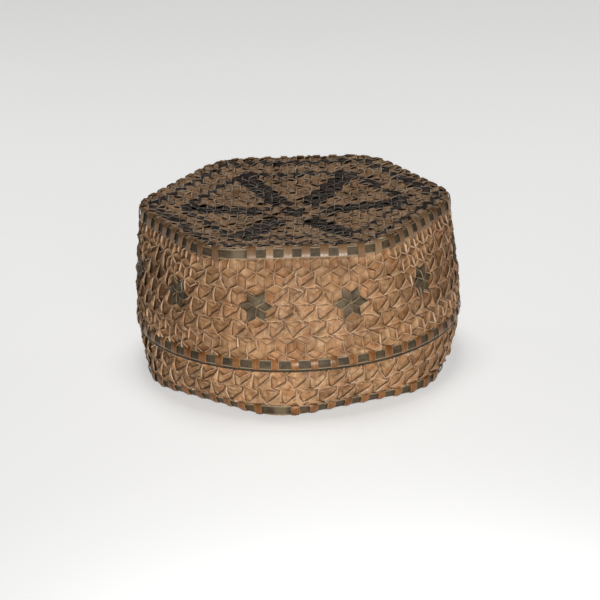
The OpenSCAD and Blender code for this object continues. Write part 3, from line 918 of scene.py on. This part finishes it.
def roll_on_base(co):
    co = uneven(co, 62)
    z = np.clip(BASE_ROW_Z + co[:, 1], BASE_WEAVE_LOW, BASE_WEAVE_HIGH)
    out = behind_bands(z, co[:, 2], BASE_BANDS)
    sliding = np.minimum(out - SLIDE_DROP, SLIDE_OUT)
    return base_place(co[:, 0] / PITCH, z, np.where(z > SLIDE_FROM, sliding, out))


base_spots = [spot for _, spot in wall_strips(BASE_ROWS, base_raised, 7)]
base_backing = backing_sheet("base_backing", AROUND, BASE_SPAN, *BASE_CELLS, WALL_BACKING)
mesh = laid_strips("base_wall_plait", base_spots, flat_leaf, base_backing, lit_base_leaf, 31)
finished("base_wall_plait", mesh, roll_on_base(coordinates(mesh)), "base", "tan_leaf", "base_wall")

# %% [markdown]
# ## Floor and linings
# The floor and the inner layers are plain flat weave, made of a strip with fewer faces. They are seen only
# from below or with the lid off.

# %% Plait the floor and the linings
LINING_DEPTH = 2.45
LINING_JITTER = (0.03, 0.015, 0.02)
FLOOR_Z, FLOOR_MARGIN, FLOOR_SHEET = 0.16, 0.2, 76
FLOOR_IN_Z, FLOOR_IN_FLAT, FLOOR_IN_CORNER = 2.4, 72.1, 25.0
TOP_IN_DEPTH, TOP_IN_FLAT, TOP_IN_CORNER, TOP_IN_SHEET = 2.4, 71.0, 27.0, 75
LID_IN_HIGH, BASE_IN_LOW = 83.4, 2.8
SHEET_SPAN, SHEET_CELLS = (-10, 10), 40


def hex_sheet(flat):
    found = []
    n = TOP_STEPS + 2
    for i in range(-n, n + 1):
        for j in range(-n, n + 1):
            for d in TURNS:
                di, dj = STEP[d]
                x, y = (i + di / 2 + (j + dj / 2) / 2) * PITCH, (j + dj / 2) * ROW
                if flat_reach(x, y) < flat:
                    found.append((i + j / 2, j, d, FLAT))
    return found


def turned(x, y, a):
    return x * cos(a) - y * sin(a), x * sin(a) + y * cos(a)


def floor_under(co):
    x, y = kept_inside(co[:, 0], co[:, 1], BASE_FLAT - FLOOR_MARGIN, BASE_CORNER - FLOOR_MARGIN)
    x, y = turned(x, -y, BASE_TURN)
    return np.stack([x, y, FLOOR_Z - co[:, 2]], -1)


def floor_inside(co):
    x, y = kept_inside(co[:, 0], co[:, 1], FLOOR_IN_FLAT, FLOOR_IN_CORNER)
    x, y = turned(x, y, BASE_TURN)
    return np.stack([x, y, FLOOR_IN_Z + co[:, 2]], -1)


def top_inside(co):
    x, y = kept_inside(co[:, 0], co[:, 1], TOP_IN_FLAT, TOP_IN_CORNER)
    return np.stack([x, -y, dish(x, -y) - TOP_IN_DEPTH - co[:, 2]], -1)


def lid_inside(co):
    z = np.clip(STAR_Z + co[:, 1], LID_WEAVE_LOW, LID_IN_HIGH)
    return lid_place(-co[:, 0] / PITCH, z, -LINING_DEPTH - co[:, 2])


def base_inside(co):
    z = np.clip(BASE_ROW_Z + co[:, 1], BASE_IN_LOW, BASE_WEAVE_HIGH)
    return base_place(-co[:, 0] / PITCH, z, -LINING_DEPTH - co[:, 2])


def flat_rows(rows):
    return [(i + j / 2, j, d, FLAT) for j in rows for i in range(COLUMNS) for d in TURNS]


sheet = backing_sheet("sheet_backing", SHEET_SPAN, SHEET_SPAN, SHEET_CELLS, SHEET_CELLS, LINING_BACKING)
lid_sheet = backing_sheet("lid_in_backing", AROUND, LID_SPAN, *LID_CELLS, LINING_BACKING)
base_sheet = backing_sheet("base_in_backing", AROUND, BASE_SPAN, *BASE_CELLS, LINING_BACKING)
floor_spots, top_spots = hex_sheet(FLOOR_SHEET), hex_sheet(TOP_IN_SHEET)
lid_rows, base_rows = flat_rows(LID_ROWS), flat_rows(BASE_ROWS)
for piece_name, node, body, spots, backing, place, material, seed in (
        ("base_floor_plait", "base_floor", "base", floor_spots, sheet, floor_under, tan_leaf, 41),
        ("base_floor_inside", "base_floor_lining", "base", floor_spots, sheet, floor_inside, lining_leaf, 42),
        ("lid_top_inside", "lid_top_lining", "lid", top_spots, sheet, top_inside, lining_leaf, 43),
        ("lid_wall_inside", "lid_wall_lining", "lid", lid_rows, lid_sheet, lid_inside, lining_leaf, 44),
        ("base_wall_inside", "base_wall_lining", "base", base_rows, base_sheet, base_inside, lining_leaf, 45)):
    mesh = laid_strips(piece_name, spots, plain_leaf, backing, material, seed, LINING_JITTER)
    slot = "tan_leaf" if material == tan_leaf else "lining_leaf"
    finished(piece_name, mesh, place(coordinates(mesh)), body, slot, node)

# %% [markdown]
# ## Dark strips along the edges
# Each edge has one dark strip that runs all the way round. It is a band with a low crown, swept round the
# outline. On the lid's rim it also hangs a dark lip below the folds, a painted shadow line under the rim.
# On the top edge and the bottom edge one folded end is missing, and there the dark strip is paler, partly
# wear and partly a painted sheen.

# %% Sweep the dark strips
STRIP_W, STRIP_T, STRIP_CROWN, SEAT = 5.0, 0.4, 0.16, 0.12
STRIP_AROUND, STRIP_ACROSS, STRIP_TONE = 324, 7, 0.08
# A dark lip hangs from the lid's rim strip below the folds, a painted shadow line under the rim: its drop, its
# reach out and under, its marker, and its shade
RIM_SHADOW_HANG, HANG_OUT, HANG_UNDER, SHADOW_LIP, SHADOW_LIP_SHADE = 1.3, 0.2, 0.1, -1, (0, 0.45, 0)
PALE_EDGE = 1.1
# Where a fold is missing the dark strip is paler, partly wear and partly a painted sheen: how pale, how far,
# and where on each edge
SHEEN_AND_WEAR, SHEEN_AND_WEAR_REACH = 0.84, 0.75
TOP_SHEEN_AND_WEAR, BASE_SHEEN_AND_WEAR = COLUMNS - 3, COLUMNS - 4.4
RIM_STRIP_UP, BASE_STRIP_Z, BASE_SEAT, BASE_RIM_STRIP_Z = 0.52, 0.82, 0.23, 63.48


def edge_strip(name, place, z0, seat, body, node, shadow_hang=0.0, sheen_and_wear=None):
    across = np.linspace(0, 1, STRIP_ACROSS)
    crown = STRIP_CROWN * (1 - (2 * across - 1) ** 4)
    loop = [(z0 + STRIP_W * q, seat + STRIP_T - STRIP_CROWN + c, q) for q, c in zip(across, crown)]
    loop.append((z0 + STRIP_W, seat, 1.0))
    # The dark hanging lip, a painted shadow line under the rim
    if shadow_hang:
        loop += [(z0 - shadow_hang, seat - shadow_hang, SHADOW_LIP), (z0 - shadow_hang, seat + HANG_OUT, SHADOW_LIP),
                 (z0 - HANG_UNDER, seat + HANG_OUT, SHADOW_LIP)]
    else:
        loop.append((z0, seat, 0.0))
    n = len(loop)
    cols = np.arange(STRIP_AROUND) * COLUMNS / STRIP_AROUND
    co = np.concatenate([place(cols, np.full_like(cols, z), np.full_like(cols, o)) for z, o, _ in loop])
    faces = []
    for k in range(n):
        here, there = k * STRIP_AROUND, (k + 1) % n * STRIP_AROUND
        for c in range(STRIP_AROUND):
            after = (c + 1) % STRIP_AROUND
            faces.append((here + c, here + after, there + after, there + c))
    # The paler stretch, partly wear and partly a painted sheen
    painted_marks = np.zeros(STRIP_AROUND)
    if sheen_and_wear is not None:
        painted_marks = SHEEN_AND_WEAR * np.exp(-((cols - sheen_and_wear) / SHEEN_AND_WEAR_REACH) ** 4)
    fibre, edge_and_shade = [], []
    for _, _, q in loop:
        fibre += [((q - 0.5) * STRIP_W, c * PITCH, 0) for c in cols]
        pale = min(1, PALE_EDGE * abs(2 * q - 1))
        # Pale edges, partly a painted highlight; the hanging lip takes painted shadow
        edge_and_shade += [SHADOW_LIP_SHADE if q == SHADOW_LIP else (max(pale, w), 1, 0) for w in painted_marks]
    holder = strip_mesh(name + "_sheet", co, faces, fibre, edge_and_shade)
    mesh = holder.data
    layer = mesh.attributes.new("tone", "FLOAT", "POINT")
    layer.data.foreach_set("value", np.full(len(co), STRIP_TONE, np.float32))
    bpy.data.objects.remove(holder)
    mesh.materials.append(dark_leaf)
    finished(name, mesh, co, body, "dark_leaf", node)


edge_strip("lid_top_band", lid_place, LID_TOP_Z - STRIP_W, SEAT, "lid", "lid_top_edge_strip",
           sheen_and_wear=TOP_SHEEN_AND_WEAR)
edge_strip("lid_rim_band", lid_place, LID_RIM_Z + RIM_STRIP_UP, SEAT, "lid", "lid_rim_strip", shadow_hang=RIM_SHADOW_HANG)
edge_strip("base_edge_band", base_place, BASE_STRIP_Z, BASE_SEAT, "base", "base_edge_strip",
           sheen_and_wear=BASE_SHEEN_AND_WEAR)
edge_strip("base_rim_band", base_place, BASE_RIM_STRIP_Z, SEAT, "base", "base_rim_strip")

# %% [markdown]
# ## Folded strip ends
# Tan strip ends are folded over the dark strip at every column and tucked in again. One folded end is a
# short ribbon bent along a line, given as places outward and upward. A second, smaller tree sets it on
# points along an edge, each with its own facing.

# %% A folded end
RIBBON = (-1, -0.82, 0, 0.82, 1)
# Painted shade on a folded end: its shade value at the tucked-in start, the length over which it fades, and
# its shade value inside
TUCKED, UNTUCKED, FOLD_INSIDE = 0.3, 4.5, 0.2


def folded_end(name, line, width, thick=0.42, crown=0.12):
    line = np.array(line, float)
    way = np.gradient(line, axis=0)
    way /= np.linalg.norm(way, axis=1)[:, None]
    normal = np.stack([way[:, 1], -way[:, 0]], -1)
    length = np.concatenate([[0], np.cumsum(np.linalg.norm(np.diff(line, axis=0), axis=1))])
    ring = [(q, True) for q in RIBBON] + [(1, False), (-1, False)]
    n = len(ring)
    points, fibre, edge_and_shade = [], [], []
    for p, m, s in zip(line, normal, length):
        for q, outside in ring:
            o, z = p + m * (crown * (1 - q * q) if outside else -thick)
            points.append((o, q * width / 2, z))
            fibre.append((q * width / 2, s, 0))
            # Paler towards the edges, partly a painted highlight, with painted shade near the tucked start and
            # on the inside
            edge_and_shade.append((abs(q), min(1.0, TUCKED + s / UNTUCKED) if outside else FOLD_INSIDE, 0))
    faces = [(r * n + k, r * n + (k + 1) % n, (r + 1) * n + (k + 1) % n, (r + 1) * n + k)
             for r in range(len(line) - 1) for k in range(n)]
    faces += [tuple(range(n))[::-1], tuple(range((len(line) - 1) * n, len(line) * n))]
    made = strip_mesh(name, points, faces, fibre, edge_and_shade)
    solid = bmesh.new()
    solid.from_mesh(made.data)
    bmesh.ops.recalc_face_normals(solid, faces=solid.faces)
    solid.to_mesh(made.data)
    solid.free()
    return made


top_fold = folded_end("top_fold", [
    (-1.7, 0.1), (-0.8, 0.45), (0.4, 0.45), (0.95, 0.0), (1.4, -1.2), (1.85, -2.8), (2.2, -4.4), (2.1, -5.3),
    (1.75, -5.7)], width=3.9, crown=0.2)
rim_fold = folded_end("rim_fold", [
    (-3.1, 5.0), (-2.95, 2.0), (-2.7, 0.45), (-1.2, 0.3), (0.4, 0.3), (1.05, 0.8), (1.3, 2.4), (1.15, 4.2),
    (0.65, 5.6), (0.1, 6.2)], width=4.1)
base_fold = folded_end("base_fold", [
    (0.4, -2.75), (0.95, -2.5), (1.3, -1.6), (1.5, 0.0), (1.4, 1.5), (1.05, 2.5), (0.5, 3.0)],
    width=4.3, crown=0.35)
hidden_fold = folded_end("hidden_fold", [
    (-2.9, -5.0), (-2.85, -1.0), (-2.3, -0.35), (0.3, -0.35), (0.85, -0.8), (1.0, -3.0), (0.75, -5.4),
    (0.35, -6.0)], width=4.4, thick=0.3, crown=0.06)
print("faces of a folded end", len(top_fold.data.polygons))

# %% Fold the ends over the edges
TOP_FOLD_LEAN = -np.arctan(0.28)
TOP_FOLD_LOW, RIM_FOLD_UP = 81.1, 5.4
BASE_FOLD_Z, BASE_FOLD_LOW, BASE_FOLD_HIGH, HIDDEN_FOLD_LOW = 3.32, 0.8, 5.8, 63.0
TOP_AT, RIM_AT, BASE_AT, HIDDEN_AT = -0.25, -0.07, 0.4, 0.5
TOP_MISSING, BASE_MISSING = COLUMNS - 3, COLUMNS - 5
HIDDEN_JITTER = (0.02, 0.03)


def folding_tree():
    tree = bpy.data.node_groups.new("folding", "GeometryNodeTree")
    socket(tree, "Places", "NodeSocketGeometry")
    socket(tree, "Folded end", "NodeSocketObject")
    for label in ("Turn jitter", "Size jitter"):
        socket(tree, label, "NodeSocketFloat")
    socket(tree, "Seed", "NodeSocketInt")
    socket(tree, "Leaf", "NodeSocketMaterial")
    socket(tree, "Folds", "NodeSocketGeometry", False)
    given = add(tree, "NodeGroupInput").outputs
    places = toned_places(tree, given)
    wobble = add(tree, "ShaderNodeCombineXYZ", {"X": jitter_of(tree, given, "Turn jitter", 1)}).outputs[0]
    facing = add(tree, "ShaderNodeVectorMath", {0: stored(tree, "facing", "FLOAT_VECTOR"), 1: wobble},
                 operation="ADD").outputs[0]
    angles = add(tree, "FunctionNodeEulerToRotation", {0: facing}).outputs[0]
    wide = maths(tree, jitter_of(tree, given, "Size jitter", 2), 1.0, "ADD")
    size = add(tree, "ShaderNodeCombineXYZ", {"X": 1.0, "Y": wide, "Z": 1.0}).outputs[0]
    laid = add(tree, "GeometryNodeInstanceOnPoints", {
        "Points": places, "Instance": pattern(tree, given, "Folded end"), "Rotation": angles, "Scale": size})
    return close_tree(tree, laid.outputs[0], given)


folding = folding_tree()


def folded_ends(name, shape, place, cols, heights, body, node, seed, rest_lean=0.0, jitter=(0.04, 0.12)):
    cols = np.array(cols, float)
    z, z_low, z_high = heights
    still = np.zeros_like(cols)
    at = place(cols, np.full_like(cols, z), still)
    outward = place(cols, np.full_like(cols, z), np.ones_like(cols)) - at
    a = np.arctan2(outward[:, 1], outward[:, 0])
    rise = place(cols, np.full_like(cols, z_high), still) - place(cols, np.full_like(cols, z_low), still)
    lean = (rise[:, 0] * np.cos(a) + rise[:, 1] * np.sin(a)) / (z_high - z_low)
    facing = np.stack([still, np.arctan(lean) - rest_lean, a], -1).astype(np.float32)
    holder = points_object(name + "_places", at, {"facing": ("FLOAT_VECTOR", "vector", facing.ravel())})
    mesh = evaluated_mesh(name, holder, folding, {"Folded end": shape, "Turn jitter": jitter[0],
                                                  "Size jitter": jitter[1], "Seed": seed, "Leaf": wrap_leaf})
    finished(name, mesh, coordinates(mesh), body, "wrap_leaf", node)


every = range(COLUMNS)
folded_ends("lid_top_folds", top_fold, lid_place, [c + TOP_AT for c in every if c != TOP_MISSING],
            (LID_TOP_Z, TOP_FOLD_LOW, LID_TOP_Z), "lid", "lid_top_edge_wraps", 51, TOP_FOLD_LEAN)
folded_ends("lid_rim_folds", rim_fold, lid_place, [c + RIM_AT for c in every],
            (LID_RIM_Z, LID_RIM_Z, LID_RIM_Z + RIM_FOLD_UP), "lid", "lid_rim_wraps", 52)
folded_ends("base_edge_folds", base_fold, base_place, [c + BASE_AT for c in every if c != BASE_MISSING],
            (BASE_FOLD_Z, BASE_FOLD_LOW, BASE_FOLD_HIGH), "base", "base_edge_wraps", 53)
folded_ends("base_rim_folds", hidden_fold, base_place, [c + HIDDEN_AT for c in every],
            (BASE_H, HIDDEN_FOLD_LOW, BASE_H), "base", "base_rim_wraps", 54, jitter=HIDDEN_JITTER)

# %% [markdown]
# ## Clear away and close
# The single strips, folds and backing sheets were only patterns to copy, so they are deleted.

# %% Finish
patterns = [o for o in scene.objects if o.type == "MESH" and "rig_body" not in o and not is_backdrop(o)]
for item in patterns:
    bpy.data.objects.remove(item)
